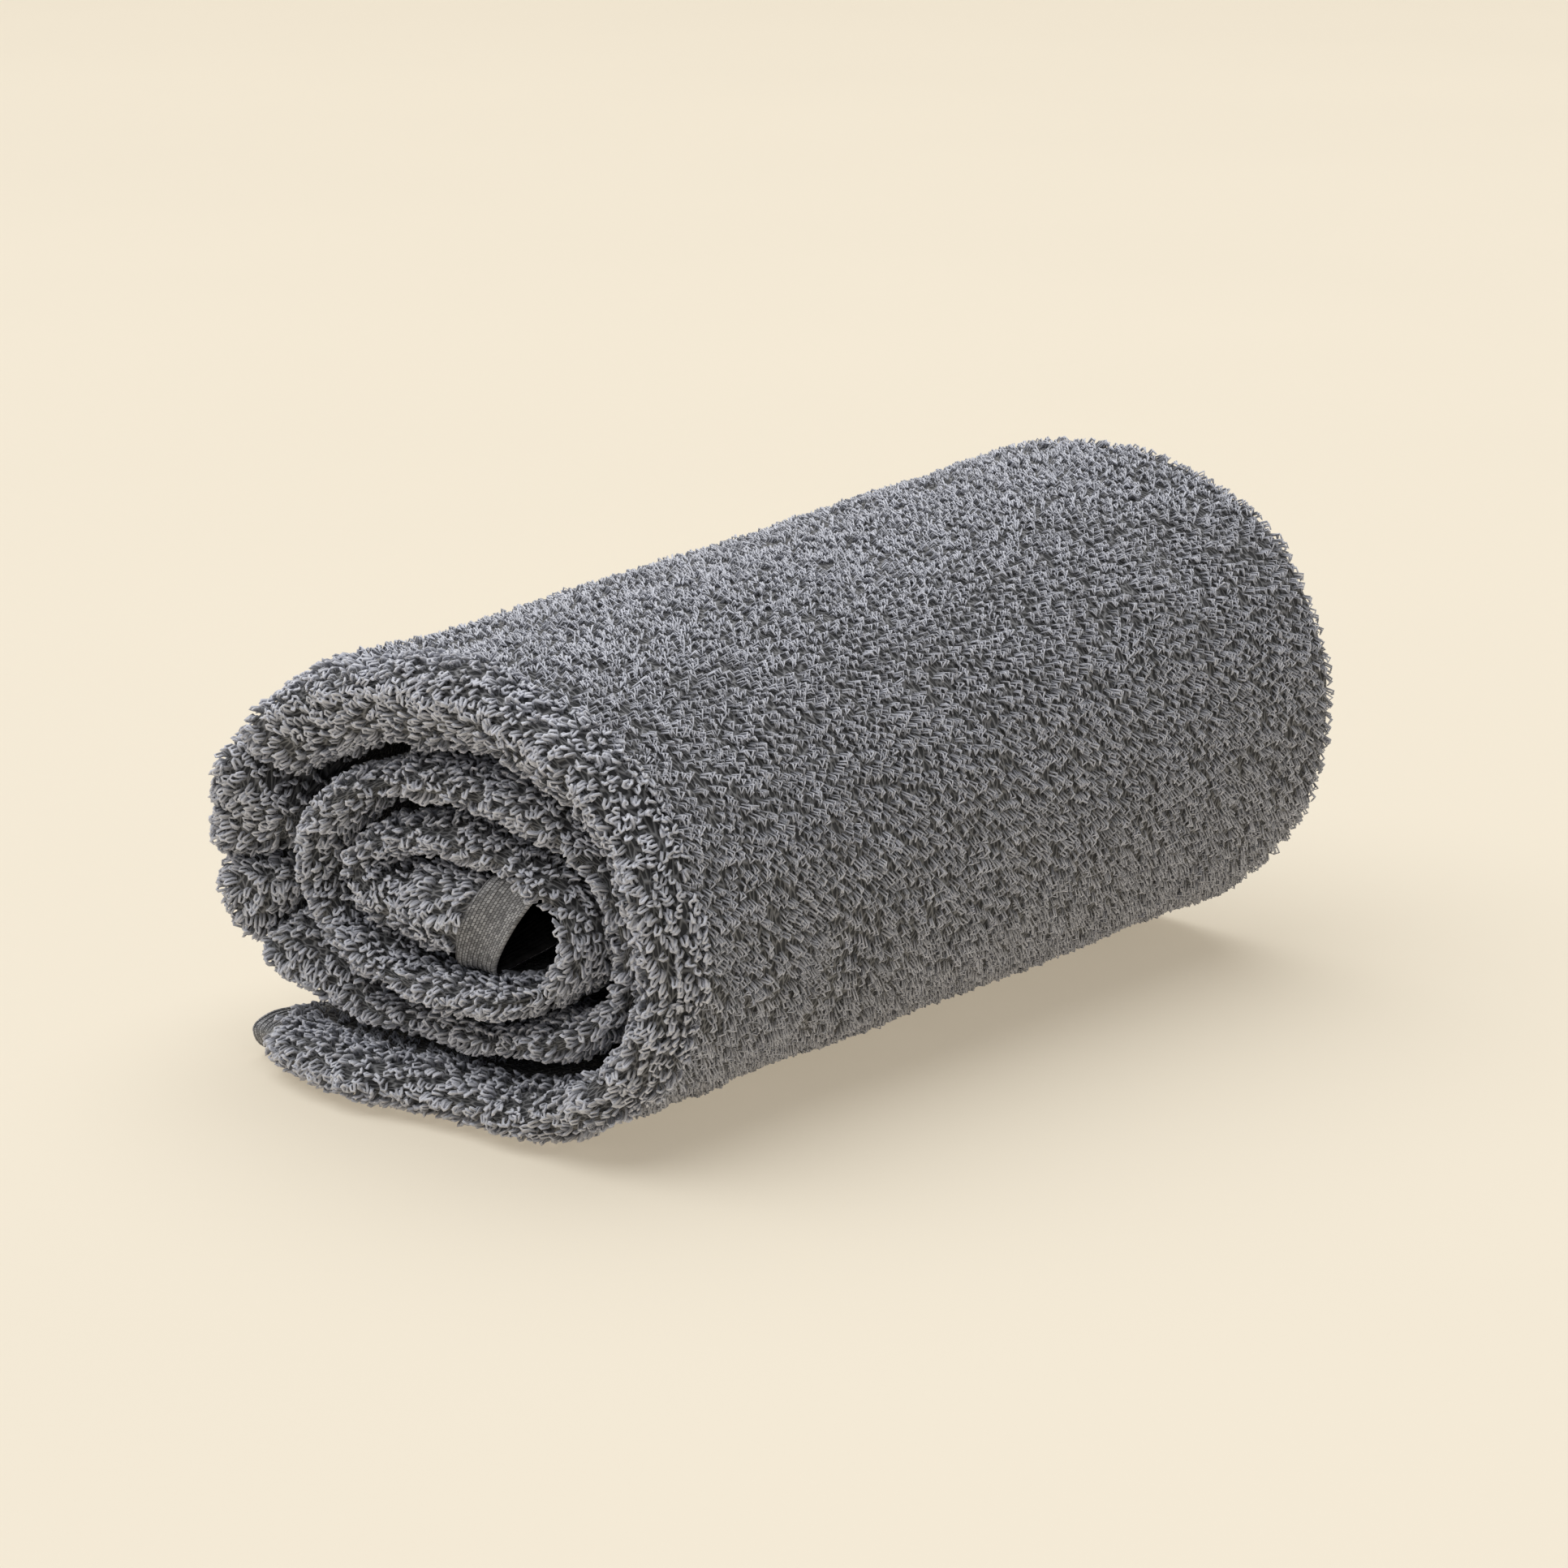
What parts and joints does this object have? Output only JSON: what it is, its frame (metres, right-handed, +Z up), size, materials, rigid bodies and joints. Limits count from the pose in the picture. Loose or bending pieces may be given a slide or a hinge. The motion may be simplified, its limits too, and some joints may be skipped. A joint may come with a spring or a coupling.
{
  "type": "rolled towel",
  "caption": "Terry hand towel folded in half and rolled up, lying on its side, with a loose end on the surface.",
  "frame": {"origin": "centre of the bounding box in X and Y, at the underside that lies on the surface", "axes": "+X along the roll from its folded edge to its open edges, +Y towards the side where the loose end points, +Z up"},
  "size_m": [0.217, 0.1366, 0.1083],
  "materials": {
    "terry": "matte looped pile"
  },
  "bodies": {
    "root": {"towel": "terry"}
  },
  "joints": []
}
